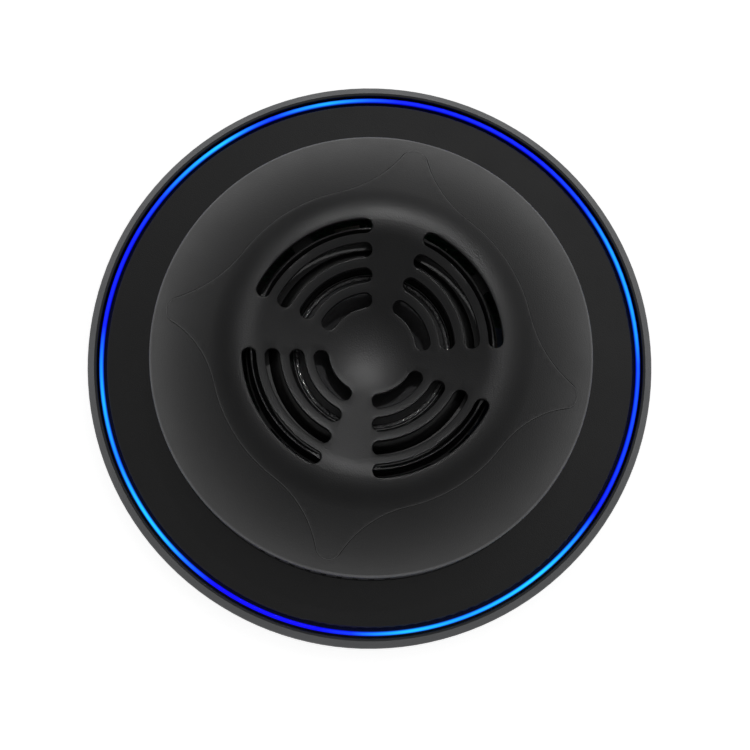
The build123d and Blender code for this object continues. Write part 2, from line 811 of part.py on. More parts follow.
def make_voice_coil():
    low = basket_low - top_plate_thick - coil_reach
    former = tube(coil_r - coil_wall, coil_r, low, cone_neck_z)
    return former + tube(coil_r - coil_wall, coil_r + coil_winding, low, low + coil_winding_len)


def make_spider():
    inner = coil_r + spider_clear
    steps = int((spider_r - 2 * spider_foot - inner) / spider_step)
    top = [(inner + spider_step * i, spider_z + spider_skin + (spider_wave if i % 2 == 0 else 2 * spider_wave))
           for i in range(steps)]
    top += [(spider_r - 2 * spider_foot, spider_z + spider_skin), (spider_r - spider_foot, spider_z + spider_skin)]
    under = [(radius, height - spider_skin) for radius, height in reversed(top)]
    return turned(*top, *under)


def make_top_plate():
    bore = coil_r + coil_winding + top_plate_gap
    return tube(bore, magnet_r, basket_low - top_plate_thick, basket_low)


def make_magnet():
    top = basket_low - top_plate_thick
    return tube(magnet_bore_r, magnet_r, top - magnet_thick, top)


def make_back_plate():
    top = basket_low - top_plate_thick - magnet_thick
    pole = rod(coil_r - coil_wall - pole_gap, top, basket_low)
    plate = rod(magnet_r - back_plate_inset, top - back_plate_thick, top)
    return fillet(plate.edges().group_by(Axis.Z)[0], back_plate_round) + pole


def make_speaker_terminal():
    low = basket_top - basket_steel - terminal_size[2]
    return spot(terminal_at, terminal_angle) * block(terminal_size, low=low)


def make_speaker_leads():
    high = basket_top - basket_steel - terminal_size[2]
    low = board_top + socket_size[2]
    middle = (high + low) / 2
    route = FilletPolyline((terminal_at, 0, high), (terminal_at, 0, middle + lead_drop),
                           (socket_at, 0, middle - lead_drop), (socket_at, 0, low), radius=lead_bend)
    lead = sweep(Plane(route @ 0, z_dir=route % 0) * Circle(lead_r), path=route)
    return [Rot(0, 0, terminal_angle) * Pos(0, side * lead_pitch / 2, 0) * lead for side in (-1, 1)]


def make_speaker_socket():
    return spot(socket_at, terminal_angle) * block(socket_size, low=board_top)


pieces = {
    "mounting_plate": make_mounting_plate(),
    "rear_housing": make_rear_housing(),
    "housing_screws": make_housing_screws(),
    "light_ring": make_light_ring(),
    "led_ring_board": make_led_ring_board(),
    "ring_leds": make_ring_leds(),
    "light_ring_ribbon": make_light_ring_ribbon(),
    "front_bezel": make_front_bezel(),
    "dome_shell": make_dome_shell(),
    "grille_cover": make_grille_cover(),
    "grille_screws": make_grille_screws(),
    "main_board": make_main_board(),
    "board_screws": make_board_screws(),
    "network_jack": make_network_jack(),
    "jack_contacts": make_jack_contacts(),
    "power_transformer": make_power_transformer(),
    "capacitors": make_capacitors(),
    "processor_shield": make_processor_shield(),
    "processor": make_processor(),
    "co2_sensor": make_co2_sensor(),
    "co2_membrane": make_co2_membrane(),
    "gas_sensor": make_gas_sensor(),
    "humidity_sensor": make_humidity_sensor(),
    "microphones": make_microphones(),
    "particle_sensor_base": make_particle_sensor_base(),
    "particle_sensor_lid": make_particle_sensor_lid(),
    "particle_fan": make_particle_fan(),
    "laser_diode": make_laser_diode(),
    "reset_button": make_reset_button(),
    "reset_switch": make_reset_switch(),
    "speaker_basket": make_speaker_basket(),
    "speaker_screws": make_speaker_screws(),
    "speaker_gasket": make_speaker_gasket(),
    "surround": make_surround(),
    "speaker_cone": make_speaker_cone(),
    "dust_cap": make_dust_cap(),
    "voice_coil": make_voice_coil(),
    "spider": make_spider(),
    "top_plate": make_top_plate(),
    "magnet": make_magnet(),
    "back_plate": make_back_plate(),
    "speaker_terminal": make_speaker_terminal(),
    "speaker_leads": make_speaker_leads(),
    "speaker_socket": make_speaker_socket(),
}
for name, piece in pieces.items():
    export(name, Compound(children=list(piece)) if isinstance(piece, list) else piece)
    print(name)
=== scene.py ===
import math

import bpy
from mathutils import Matrix, Vector


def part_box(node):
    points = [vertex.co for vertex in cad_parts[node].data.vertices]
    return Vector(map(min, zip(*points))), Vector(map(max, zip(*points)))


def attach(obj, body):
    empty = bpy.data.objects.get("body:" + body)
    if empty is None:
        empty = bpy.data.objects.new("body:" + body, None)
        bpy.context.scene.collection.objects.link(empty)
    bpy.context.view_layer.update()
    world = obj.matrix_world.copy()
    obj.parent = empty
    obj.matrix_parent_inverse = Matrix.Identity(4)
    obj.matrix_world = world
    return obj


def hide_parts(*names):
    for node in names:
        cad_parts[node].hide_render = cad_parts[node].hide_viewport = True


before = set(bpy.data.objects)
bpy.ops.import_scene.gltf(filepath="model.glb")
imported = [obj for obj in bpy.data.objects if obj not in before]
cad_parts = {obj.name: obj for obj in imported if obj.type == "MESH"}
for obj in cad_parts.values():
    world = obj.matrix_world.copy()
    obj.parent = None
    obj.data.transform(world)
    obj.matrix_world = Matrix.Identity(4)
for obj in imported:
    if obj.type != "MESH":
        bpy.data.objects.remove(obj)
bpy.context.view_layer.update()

scene = bpy.context.scene
scene.view_settings.view_transform = "Standard"
bpy.ops.object.select_all(action="DESELECT")


# Camera: nearly straight above the monitor's face, tilted a little towards its front and turned a little
# about its own axis. Angles in degrees, lengths in metres, the lens and its film in millimetres.
camera_elevation, camera_azimuth, camera_roll = map(math.radians, (83.70, 3.26, 9.23))
camera_aim = Vector((0.00226, -0.00347, 0.020))
camera_distance = 0.850
camera_lens, film_width = 128.99, 36.0
nearest, farthest = 0.05, 20.0
toward_camera = Vector((math.sin(camera_azimuth) * math.cos(camera_elevation),
                        -math.cos(camera_azimuth) * math.cos(camera_elevation), math.sin(camera_elevation)))
level_right = (-toward_camera).cross(Vector((0, 0, 1))).normalized()
level_up = level_right.cross(-toward_camera)
view_right = math.cos(camera_roll) * level_right + math.sin(camera_roll) * level_up
view_up = -math.sin(camera_roll) * level_right + math.cos(camera_roll) * level_up
bpy.ops.object.camera_add()
camera = bpy.context.object
camera.name = "camera"
camera.data.lens = camera_lens
camera.data.sensor_width = film_width
camera.data.clip_start, camera.data.clip_end = nearest, farthest
camera.matrix_world = (Matrix.Translation(camera_aim + camera_distance * toward_camera)
                       @ Matrix((view_right, view_up, toward_camera)).transposed().to_4x4())
scene.camera = camera


# Studio floor: white card, which the camera sees as plain white with a faint shadow. It lies a hair below
# the mounting plate's back, and from underneath it isn't there, so that the plate can be looked at.
floor_radius, floor_drop = 3.0, 0.0003
card_white, card_rough, card_glow = 0.82, 0.9, 0.78


def add_node(tree, kind, **settings):
    """A new node in a tree, with its settings."""
    node = tree.nodes.new("ShaderNode" + kind)
    for name, value in settings.items():
        setattr(node, name, value)
    return node


def join(tree, *wires):
    """Links each pair of an output and an input."""
    for output, socket in wires:
        tree.links.new(output, socket)


bpy.ops.mesh.primitive_circle_add(vertices=96, radius=floor_radius, fill_type="NGON",
                                  location=(0, 0, -floor_drop))
floor = bpy.context.object
floor.name = "studio_floor"
floor_card = bpy.data.materials.new("floor_card")
floor_card.use_nodes = True
tree = floor_card.node_tree
card = tree.nodes["Principled BSDF"]
card.inputs["Base Color"].default_value = (card_white, card_white, card_white, 1)
card.inputs["Roughness"].default_value = card_rough
card.inputs["Specular IOR Level"].default_value = 0.0
rays = add_node(tree, "LightPath")
seen_by_camera = add_node(tree, "Math", operation="MULTIPLY")
seen_by_camera.inputs[1].default_value = card_glow
or_mirrored = add_node(tree, "Math", operation="MAXIMUM")
or_through = add_node(tree, "Math", operation="MAXIMUM")
dark = add_node(tree, "Emission")
dark.inputs["Strength"].default_value = 0.0
glow = add_node(tree, "Emission")
glow.inputs["Strength"].default_value = 1.0
glow_share = add_node(tree, "MixShader")
lit_and_glowing = add_node(tree, "AddShader")
side = add_node(tree, "NewGeometry")
open_below = add_node(tree, "BsdfTransparent")
one_sided = add_node(tree, "MixShader")
join(tree,
     (rays.outputs["Is Camera Ray"], seen_by_camera.inputs[0]),
     (seen_by_camera.outputs[0], or_mirrored.inputs[0]),
     (rays.outputs["Is Glossy Ray"], or_mirrored.inputs[1]),
     (or_mirrored.outputs[0], or_through.inputs[0]),
     (rays.outputs["Is Transmission Ray"], or_through.inputs[1]),
     (or_through.outputs[0], glow_share.inputs["Fac"]),
     (dark.outputs["Emission"], glow_share.inputs[1]),
     (glow.outputs["Emission"], glow_share.inputs[2]),
     (card.outputs["BSDF"], lit_and_glowing.inputs[0]),
     (glow_share.outputs["Shader"], lit_and_glowing.inputs[1]),
     (side.outputs["Backfacing"], one_sided.inputs["Fac"]),
     (lit_and_glowing.outputs["Shader"], one_sided.inputs[1]),
     (open_below.outputs["BSDF"], one_sided.inputs[2]),
     (one_sided.outputs["Shader"], tree.nodes["Material Output"].inputs["Surface"]))
floor.data.materials.append(floor_card)


# Light tent: pale walls that grow darker overhead, where the tent is open, with a broad brighter patch
# beyond the object's top right. Each level of the walls goes with its height, from the horizon, 0, to
# straight overhead, 1.
tent_levels = ((0.0, 0.76), (0.25, 0.56), (0.50, 0.38), (0.75, 0.24), (1.0, 0.19))
patch_way = (view_up * 0.42 + view_right * 0.30 + Vector((0, 0, 1))).normalized()
patch_edge, patch_level = 0.70, 0.42
tent = bpy.data.worlds.new("light_tent")
scene.world = tent
tent.use_nodes = True
tree = tent.node_tree
coords = add_node(tree, "TexCoord")
split = add_node(tree, "SeparateXYZ")
walls = add_node(tree, "ValToRGB")
walls.color_ramp.elements[0].color = (*[tent_levels[0][1]] * 3, 1)
walls.color_ramp.elements[1].color = (*[tent_levels[-1][1]] * 3, 1)
for place, level in tent_levels[1:-1]:
    walls.color_ramp.elements.new(place).color = (level, level, level, 1)
toward_patch = add_node(tree, "VectorMath", operation="DOT_PRODUCT")
toward_patch.inputs[1].default_value = patch_way
patch = add_node(tree, "MapRange", interpolation_type="SMOOTHSTEP")
for socket, value in (("From Min", patch_edge), ("From Max", 1.0), ("To Max", patch_level)):
    patch.inputs[socket].default_value = value
both = add_node(tree, "MixRGB", blend_type="ADD")
both.inputs["Fac"].default_value = 1.0
join(tree,
     (coords.outputs["Generated"], split.inputs["Vector"]),
     (split.outputs["Z"], walls.inputs["Fac"]),
     (coords.outputs["Generated"], toward_patch.inputs[0]),
     (toward_patch.outputs["Value"], patch.inputs["Value"]),
     (walls.outputs["Color"], both.inputs["Color1"]),
     (patch.outputs["Result"], both.inputs["Color2"]),
     (both.outputs["Color"], tree.nodes["Background"].inputs["Color"]))


# Lamps: a low soft box beyond the far edge, and a snoot whose narrow beam falls into the bowl. Both are
# aimed at the crown's centre; tilts in degrees, lengths in metres, power in watts.
def lamp(name, kind, tilt_right, tilt_up, distance, power, size, aim=(0, 0, 0.05)):
    """A lamp whose place is given in degrees off straight up, to the view's right and to its top."""
    lean = math.radians(math.hypot(tilt_right, tilt_up))
    side = (view_right * tilt_right + view_up * tilt_up).normalized()
    way = math.sin(lean) * side + math.cos(lean) * Vector((0, 0, 1))
    place = Vector(aim) + way * distance
    bpy.ops.object.light_add(type=kind, location=place, rotation=way.to_track_quat("Z", "Y").to_euler())
    light = bpy.context.object
    light.name = name
    light.data.energy = power
    if kind == "AREA":
        light.data.shape = "DISK"
        light.data.size = size
    else:
        light.data.shadow_soft_size = size
    return light


far_softbox = lamp("far_softbox", "AREA", tilt_right=10, tilt_up=84, distance=1.4, power=0.3, size=0.8)
snoot = lamp("bowl_snoot", "SPOT", tilt_right=6, tilt_up=24, distance=1.0, power=66.0, size=0.05)
snoot.data.spot_size = math.radians(3.5)
snoot.data.spot_blend = 1.0


# Mounting plate: the plate that is screwed to the ceiling or wall. Injection-moulded black ABS with a
# coarse matt grain; the housing hooks on to its three tabs with a short turn.
def start_material(name, colour, rough, metal=0.0, gloss=0.5):
    """A material with the values that are the same all over, and its object coordinates."""
    material = bpy.data.materials.new(name)
    material.use_nodes = True
    shader = material.node_tree.nodes["Principled BSDF"]
    shader.inputs["Base Color"].default_value = (*colour, 1)
    shader.inputs["Roughness"].default_value = rough
    shader.inputs["Metallic"].default_value = metal
    shader.inputs["Specular IOR Level"].default_value = gloss
    add_node(material.node_tree, "TexCoord", name="places")
    return material


def placed(material, stretch=(1, 1, 1), turn=0.0):
    """The object's own coordinates, stretched and turned about the axis."""
    tree = material.node_tree
    mapping = add_node(tree, "Mapping")
    mapping.inputs["Scale"].default_value = stretch
    mapping.inputs["Rotation"].default_value = (0, 0, math.radians(turn))
    join(tree, (tree.nodes["places"].outputs["Object"], mapping.inputs["Vector"]))
    return mapping.outputs["Vector"]


def noise_in(material, scale, detail=3.0, stretch=(1, 1, 1)):
    """A noise pattern: scale is its grains to the metre."""
    noise = add_node(material.node_tree, "TexNoise")
    noise.inputs["Scale"].default_value = scale
    noise.inputs["Detail"].default_value = detail
    join(material.node_tree, (placed(material, stretch), noise.inputs["Vector"]))
    return noise.outputs["Fac"]


def raise_by(material, pattern, depth, strength=1.0):
    """Bumps the surface by a pattern, depth metres high, over any bump that is there already."""
    tree = material.node_tree
    normal = tree.nodes["Principled BSDF"].inputs["Normal"]
    bump = add_node(tree, "Bump")
    bump.inputs["Distance"].default_value = depth
    bump.inputs["Strength"].default_value = strength
    if normal.is_linked:
        join(tree, (normal.links[0].from_socket, bump.inputs["Normal"]))
    join(tree, (pattern, bump.inputs["Height"]), (bump.outputs["Normal"], normal))


def tint_by(material, pattern, low, high, start=0.3, end=0.7):
    """Colours the surface from low to high by a pattern."""
    tree = material.node_tree
    ramp = add_node(tree, "ValToRGB")
    for element, place, colour in zip(ramp.color_ramp.elements, (start, end), (low, high)):
        element.position, element.color = place, (*colour, 1)
    join(tree, (pattern, ramp.inputs["Fac"]),
         (ramp.outputs["Color"], tree.nodes["Principled BSDF"].inputs["Base Color"]))


def roughen_by(material, pattern, low, high, start=0.3, end=0.7):
    """Takes the roughness from low to high by a pattern."""
    tree = material.node_tree
    spread = add_node(tree, "MapRange")
    for socket, value in (("From Min", start), ("From Max", end), ("To Min", low), ("To Max", high)):
        spread.inputs[socket].default_value = value
    join(tree, (pattern, spread.inputs["Value"]),
         (spread.outputs["Result"], tree.nodes["Principled BSDF"].inputs["Roughness"]))


def moulded(name, colour, rough, grain=2200.0, depth=0.00005, gloss=0.5):
    """A moulded plastic: a fine grain, a slow change of tone, and a sheen that handling has made uneven."""
    material = start_material(name, colour, rough, gloss=gloss)
    tint_by(material, noise_in(material, 40.0, 4.0), [0.85 * c for c in colour], [1.15 * c for c in colour])
    roughen_by(material, noise_in(material, 60.0, 5.0), 0.88 * rough, 1.12 * rough)
    raise_by(material, noise_in(material, grain, 2.0), depth, 0.9)
    return material


def metal(name, colour, rough, scale=900.0, stretch=(1, 1, 1), depth=0.00001):
    """A bare metal: its polish is uneven, and drawing or turning has left fine marks."""
    material = start_material(name, colour, rough, metal=1.0)
    tint_by(material, noise_in(material, 120.0, 4.0), [0.9 * c for c in colour], colour)
    marks = noise_in(material, scale, 3.0, stretch)
    roughen_by(material, marks, 0.75 * rough, 1.25 * rough)
    raise_by(material, marks, depth, 0.5)
    return material


def finish_nodes(material, *names):
    """Gives the named pieces their material."""
    for name in names:
        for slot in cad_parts[name].material_slots:
            slot.material = material


back_plastic = moulded("back_plastic", (0.009, 0.009, 0.0095), 0.58, grain=1500.0, depth=0.00010, gloss=0.4)
finish_nodes(back_plastic, "mounting_plate")


# Rear housing: the shallow pan with the outer wall, its chamfer and the hooks. The same ABS as the face,
# with the fine spark-eroded grain of the visible shell, and held to the bezel by four plated screws from
# the back. Its colour has a faint blue cast, which is painted bluish light on the wall and chamfer beside
# the light ring.
# the blue in this colour is painted bluish light, not a tint of the plastic
housing_plastic = moulded("housing_plastic", (0.010, 0.012, 0.016), 0.40, grain=2600.0, depth=0.00007)
finish_nodes(housing_plastic, "rear_housing")
screw_steel = metal("screw_steel", (0.42, 0.41, 0.39), 0.32, scale=1600.0)
finish_nodes(screw_steel, "housing_screws", "grille_screws", "board_screws", "speaker_screws")


# Light ring: a clear acrylic light guide. The lights on the ring board under it glow through its rounded
# top, each with its own strength, so the colour runs from deep blue to a paler blue round the ring.
ring_outer, ring_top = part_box("light_ring")[1][0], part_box("light_ring")[1][2]
ring_width = 0.0014
glow_low, glow_high = ring_top - 0.0011, ring_top - 0.00015      # where the glow starts, and is full
ring_glow = start_material("ring_glow", (0.004, 0.012, 0.10), 0.30, gloss=0.12)
raise_by(ring_glow, noise_in(ring_glow, 900.0, 2.0), 0.00002, 0.3)
tree = ring_glow.node_tree
guide = tree.nodes["Principled BSDF"]
split = add_node(tree, "SeparateXYZ")
bearing = add_node(tree, "Math", operation="ARCTAN2")
turn_share = add_node(tree, "MapRange")
turn_share.inputs["From Min"].default_value, turn_share.inputs["From Max"].default_value = -math.pi, math.pi
glow_round = add_node(tree, "ValToRGB")
flat = add_node(tree, "VectorMath", operation="MULTIPLY")
flat.inputs[1].default_value = (1, 1, 0)
reach = add_node(tree, "VectorMath", operation="LENGTH")
width_share = add_node(tree, "MapRange")
width_share.inputs["From Min"].default_value = ring_outer - ring_width
width_share.inputs["From Max"].default_value = ring_outer
glow_across = add_node(tree, "ValToRGB")
glow_up = add_node(tree, "MapRange", interpolation_type="SMOOTHSTEP")
for socket, value in (("From Min", glow_low), ("From Max", glow_high), ("To Min", 0.01)):
    glow_up.inputs[socket].default_value = value
shaped = add_node(tree, "MixRGB", blend_type="MULTIPLY")
shaped.inputs["Fac"].default_value = 1.0
glow_level = add_node(tree, "MixRGB", blend_type="MULTIPLY")
glow_level.inputs["Fac"].default_value = 1.0
join(tree,
     (tree.nodes["places"].outputs["Object"], split.inputs["Vector"]),
     (split.outputs["Y"], bearing.inputs[0]),
     (split.outputs["X"], bearing.inputs[1]),
     (bearing.outputs["Value"], turn_share.inputs["Value"]),
     (turn_share.outputs["Result"], glow_round.inputs["Fac"]),
     (tree.nodes["places"].outputs["Object"], flat.inputs[0]),
     (flat.outputs["Vector"], reach.inputs[0]),
     (reach.outputs["Value"], width_share.inputs["Value"]),
     (width_share.outputs["Result"], glow_across.inputs["Fac"]),
     (split.outputs["Z"], glow_up.inputs["Value"]),
     (glow_round.outputs["Color"], shaped.inputs["Color1"]),
     (glow_across.outputs["Color"], shaped.inputs["Color2"]),
     (shaped.outputs["Color"], glow_level.inputs["Color1"]),
     (glow_up.outputs["Result"], glow_level.inputs["Color2"]),
     (glow_level.outputs["Color"], guide.inputs["Emission Color"]))
guide.inputs["Emission Strength"].default_value = 1.0

# The pale core of the glow lies along the middle of the ring; only deep blue reaches its edges.
edge_blue, near_edge, core = (0.4, 0.06, 0.42, 1), (0.8, 0.35, 1.0, 1), (1.0, 1.0, 1.0, 1)
for end in (0, 1):
    edge = glow_across.color_ramp.elements[end]
    edge.position, edge.color = end, edge_blue
for place, colour in ((0.16, near_edge), (0.34, core), (0.70, core), (0.88, near_edge)):
    glow_across.color_ramp.elements.new(place).color = colour

# How much green the blue glow holds round the ring, against degrees from the X axis: none is deep blue.
ring_greens = ((12.5, 0.125), (18.5, 0.37), (24.5, 0.44), (36.5, 0.46), (42.5, 0.355), (48.5, 0.10),
               (62.5, 0.036), (96.5, 0.032), (102.5, 0.147), (111.5, 0.51), (118.5, 0.30),
               (123.5, 0.075), (128.5, 0.17), (136.5, 0.71), (146.5, 0.38), (153.5, 0.09),
               (164.5, 0.03), (184.5, 0.03), (191.5, 0.28), (200.5, 0.54), (213.5, 0.30), (225.5, 0.70),
               (232.5, 0.63), (239.5, 0.20), (246.5, 0.01), (271.5, 0.003), (278.5, 0.06),
               (290.5, 0.64), (302.5, 0.43), (321.5, 0.79), (329.5, 0.45), (338.5, 0.03))
stops = sorted((((angle + 180.0) % 360.0) / 360.0, green) for angle, green in ring_greens)
ramp = glow_round.color_ramp
for number, (position, green) in enumerate(stops):
    if number == 0:
        stop = ramp.elements[0]
    elif number < len(stops) - 1:
        stop = ramp.elements.new(position)
    else:
        stop = ramp.elements[-1]
    stop.position, stop.color = position, (0.004 + 0.015 * green, max(green - 0.014, 0.0), 1.0, 1)
finish_nodes(ring_glow, "light_ring")


# Ring board, its twelve lights and the flat cable that feeds them: solder mask over copper, white ceramic
# packages, and a white film with tinned strips.
def printed_board(name, colour, trace_scale, hole_scale=260.0, hole_size=0.10):
    """A printed board: traces under the solder mask, and tinned holes."""
    material = start_material(name, colour, 0.32)
    tree = material.node_tree
    mask = tree.nodes["Principled BSDF"]
    traces = add_node(tree, "TexBrick")
    traces.inputs["Scale"].default_value = trace_scale
    traces.inputs["Mortar Size"].default_value = 0.035
    for socket, share in (("Color1", 1.0), ("Color2", 0.7), ("Mortar", 2.2)):
        traces.inputs[socket].default_value = (*[share * c for c in colour], 1)
    holes = add_node(tree, "TexVoronoi")
    holes.inputs["Scale"].default_value = hole_scale
    in_hole = add_node(tree, "Math", operation="LESS_THAN")
    in_hole.inputs[1].default_value = hole_size
    tinned = add_node(tree, "MixRGB")
    tinned.inputs["Color2"].default_value = (0.55, 0.53, 0.48, 1)
    flat = placed(material)
    join(tree,
         (flat, traces.inputs["Vector"]),
         (flat, holes.inputs["Vector"]),
         (holes.outputs["Distance"], in_hole.inputs[0]),
         (in_hole.outputs["Value"], tinned.inputs["Fac"]),
         (traces.outputs["Color"], tinned.inputs["Color1"]),
         (tinned.outputs["Color"], mask.inputs["Base Color"]),
         (in_hole.outputs["Value"], mask.inputs["Metallic"]))
    raise_by(material, traces.outputs["Fac"], 0.00003, 0.6)
    return material


def bands_in(material, pitch, direction="X", turn=0.0):
    """A pattern of straight bands, pitch metres apart. A wave at scale 0.314 has one band to the metre."""
    wave = add_node(material.node_tree, "TexWave", bands_direction=direction)
    wave.inputs["Scale"].default_value = 0.314 / pitch
    join(material.node_tree, (placed(material, turn=turn), wave.inputs["Vector"]))
    return wave


def striped(name, low, high, pitch, rough, turn=0.0, direction="X", metal_share=0.0):
    """A surface of fine strips or turns, pitch metres apart."""
    material = start_material(name, low, rough, metal=metal_share)
    wave = bands_in(material, pitch, direction, turn)
    wave.inputs["Distortion"].default_value = 0.2
    tint_by(material, wave.outputs["Fac"], low, high)
    raise_by(material, wave.outputs["Fac"], pitch / 6, 0.6)
    return material


board_green = printed_board("board_green", (0.006, 0.055, 0.022), 130.0)
finish_nodes(board_green, "led_ring_board", "main_board", "humidity_sensor")
light_package = moulded("light_package", (0.72, 0.71, 0.66), 0.35, grain=3000.0, depth=0.00002)
finish_nodes(light_package, "ring_leds")
flat_cable = striped("flat_cable", (0.66, 0.66, 0.64), (0.34, 0.34, 0.35), pitch=0.0010, rough=0.42,
                     turn=-157.5, direction="Y")
finish_nodes(flat_cable, "light_ring_ribbon")


# Front bezel: the sloped brim round the dome, moulded in the shell's ABS with a slightly duller face. Its
# skirt stands on the light ring's foot, and four screws from the back hold it.
brim_plastic = moulded("brim_plastic", (0.0035, 0.0035, 0.004), 0.44, grain=2600.0, depth=0.00009,
                       gloss=0.56)
finish_nodes(brim_plastic, "front_bezel")


# Dome shell: the deep black cap with the vents in its side, one moulding with a fine grain that catches
# light. Its flange stands on the housing's ribs, under the bezel.
dome_plastic = moulded("dome_plastic", (0.005, 0.005, 0.0054), 0.41, grain=2600.0, depth=0.00006,
                       gloss=0.38)
finish_nodes(dome_plastic, "dome_shell")


# Grille cover: the star-shaped plate with sixteen curved slots, in the dome's ABS. The mould gives its
# slots soft rounded lips and breaks its outer edge, which closes up to the dome but for a thin line.
slot_lip, outline_lip, lip_steps = 0.00040, 0.00028, 3
slots_within, slot_margin = 0.042, 0.004
boss_at, boss_clear = 0.0555, 0.0032         # the screw bosses under the plate stay as they are
outline_grow, outline_sink = 1.0034, 0.00008
looks_up, upright = 0.6, 0.1                 # upward shares of a face's normal
merge_within = 0.000002
cover = bpy.data.objects.new("star_cover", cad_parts["grille_cover"].data.copy())
scene.collection.objects.link(cover)
bpy.context.view_layer.objects.active = cover
cover.select_set(True)
bpy.ops.object.mode_set(mode="EDIT")
bpy.ops.mesh.select_all(action="SELECT")
bpy.ops.mesh.remove_doubles(threshold=merge_within)
bpy.ops.mesh.customdata_custom_splitnormals_clear()
bpy.ops.mesh.select_mode(type="VERT")
bpy.ops.mesh.select_all(action="DESELECT")
bpy.ops.object.mode_set(mode="OBJECT")


def upward_shares(mesh):
    """For each edge, the upward shares of its faces' normals, lowest first."""
    shares = {}
    for face in mesh.polygons:
        for key in face.edge_keys:
            shares.setdefault(key, []).append(face.normal.z)
    return {key: sorted(values) for key, values in shares.items()}


def is_top_rim(shares):
    """Whether an edge joins an upright face to one that looks up."""
    return shares[-1] > looks_up and abs(shares[0]) < upright


def is_foot_rim(shares):
    """Whether an edge joins an upright face to one that looks down."""
    return shares[0] < -looks_up and abs(shares[-1]) < upright


def on_outline(point):
    """Whether a point is the star's own, and not a slot's or a boss's."""
    from_centre = point.xy.length
    beside_bosses = min(abs(point.x), abs(point.y)) > boss_clear
    past_bosses = abs(from_centre - boss_at) > boss_clear
    return from_centre > slots_within + slot_margin and (beside_bosses or past_bosses)


shares = upward_shares(cover.data)
for edge in cover.data.edges:
    if is_top_rim(shares[edge.key]) or is_foot_rim(shares[edge.key]):
        for end in edge.vertices:
            point = cover.data.vertices[end]
            point.select = point.select or on_outline(point.co)
bpy.ops.object.mode_set(mode="EDIT")
bpy.ops.transform.resize(value=(outline_grow, outline_grow, 1), center_override=(0, 0, 0))
bpy.ops.transform.translate(value=(0, 0, -outline_sink))
for lip, within in ((outline_lip, False), (slot_lip, True)):
    bpy.ops.mesh.select_mode(type="EDGE")
    bpy.ops.mesh.select_all(action="DESELECT")
    bpy.ops.object.mode_set(mode="OBJECT")
    shares = upward_shares(cover.data)
    for edge in cover.data.edges:
        middle = sum((cover.data.vertices[i].co for i in edge.vertices), Vector()) / 2
        edge.select = is_top_rim(shares[edge.key]) and (middle.xy.length < slots_within) == within
    bpy.ops.object.mode_set(mode="EDIT")
    bpy.ops.mesh.bevel(offset=lip, segments=lip_steps, profile=0.5, clamp_overlap=False)
bpy.ops.object.mode_set(mode="OBJECT")
bpy.ops.object.shade_smooth_by_angle(angle=math.radians(40))
cover.data.materials.clear()
cover.data.materials.append(dome_plastic)
bpy.ops.object.select_all(action="DESELECT")
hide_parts("grille_cover")
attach(cover, "monitor")


# Main board parts: ferrite and copper in the transformer, sleeved aluminium capacitors, tinned shields,
# epoxy chips and dark sensor housings. They are soldered to both faces of the board.
ferrite = moulded("ferrite", (0.035, 0.035, 0.038), 0.62, grain=4200.0, depth=0.00006)
finish_nodes(ferrite, "power_transformer", "magnet")
can_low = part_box("capacitors")[0][2]
bare_rim, sleeve_low = can_low + 0.0007, can_low + 0.0008
sleeve_black, bare_aluminium = (0.012, 0.012, 0.03), (0.62, 0.62, 0.62)
capacitor_sleeve = start_material("capacitor_sleeve", sleeve_black, 0.30)
tree = capacitor_sleeve.node_tree
split = add_node(tree, "SeparateXYZ")
bare_end = add_node(tree, "MapRange")
for socket, value in (("From Min", bare_rim), ("From Max", sleeve_low), ("To Min", 1.0), ("To Max", 0.0)):
    bare_end.inputs[socket].default_value = value
join(tree,
     (tree.nodes["places"].outputs["Object"], split.inputs["Vector"]),
     (split.outputs["Z"], bare_end.inputs["Value"]),
     (bare_end.outputs["Result"], tree.nodes["Principled BSDF"].inputs["Metallic"]))
tint_by(capacitor_sleeve, bare_end.outputs["Result"], sleeve_black, bare_aluminium)
roughen_by(capacitor_sleeve, noise_in(capacitor_sleeve, 300.0), 0.24, 0.36)
finish_nodes(capacitor_sleeve, "capacitors")
tinned_steel = metal("tinned_steel", (0.62, 0.62, 0.60), 0.30, scale=700.0, stretch=(1, 6, 1))
finish_nodes(tinned_steel, "processor_shield", "gas_sensor", "microphones", "reset_switch")
chip_epoxy = moulded("chip_epoxy", (0.018, 0.018, 0.019), 0.55, grain=3800.0, depth=0.00003)
finish_nodes(chip_epoxy, "processor")
sensor_case = moulded("sensor_case", (0.045, 0.045, 0.043), 0.50)
finish_nodes(sensor_case, "co2_sensor")
socket_nylon = moulded("socket_nylon", (0.55, 0.55, 0.50), 0.42)
finish_nodes(socket_nylon, "speaker_socket")
membrane = moulded("membrane", (0.78, 0.78, 0.76), 0.80, grain=5200.0, depth=0.00012, gloss=0.2)
finish_nodes(membrane, "co2_membrane")


# Network jack: glass-filled black nylon with eight gold-plated spring contacts. It is soldered to the board
# and its mouth looks out of the housing's floor. The speaker's terminal is moulded in the same nylon.
jack_nylon = moulded("jack_nylon", (0.010, 0.010, 0.011), 0.34, grain=1800.0)
finish_nodes(jack_nylon, "network_jack", "speaker_terminal")
gold_plate = metal("gold_plate", (0.90, 0.62, 0.22), 0.22, scale=2400.0)
finish_nodes(gold_plate, "jack_contacts")


# Particle sensor: a blue moulded case in two halves, with a brass laser barrel pressed into it and a small
# black fan that turns freely and draws the air through.
sensor_blue = moulded("sensor_blue", (0.020, 0.075, 0.20), 0.38)
finish_nodes(sensor_blue, "particle_sensor_base", "particle_sensor_lid")
barrel_brass = metal("barrel_brass", (0.70, 0.48, 0.18), 0.28, scale=1500.0, stretch=(1, 0.1, 1))
finish_nodes(barrel_brass, "laser_diode")
fan_plastic = moulded("fan_plastic", (0.014, 0.014, 0.015), 0.40)
finish_nodes(fan_plastic, "particle_fan")


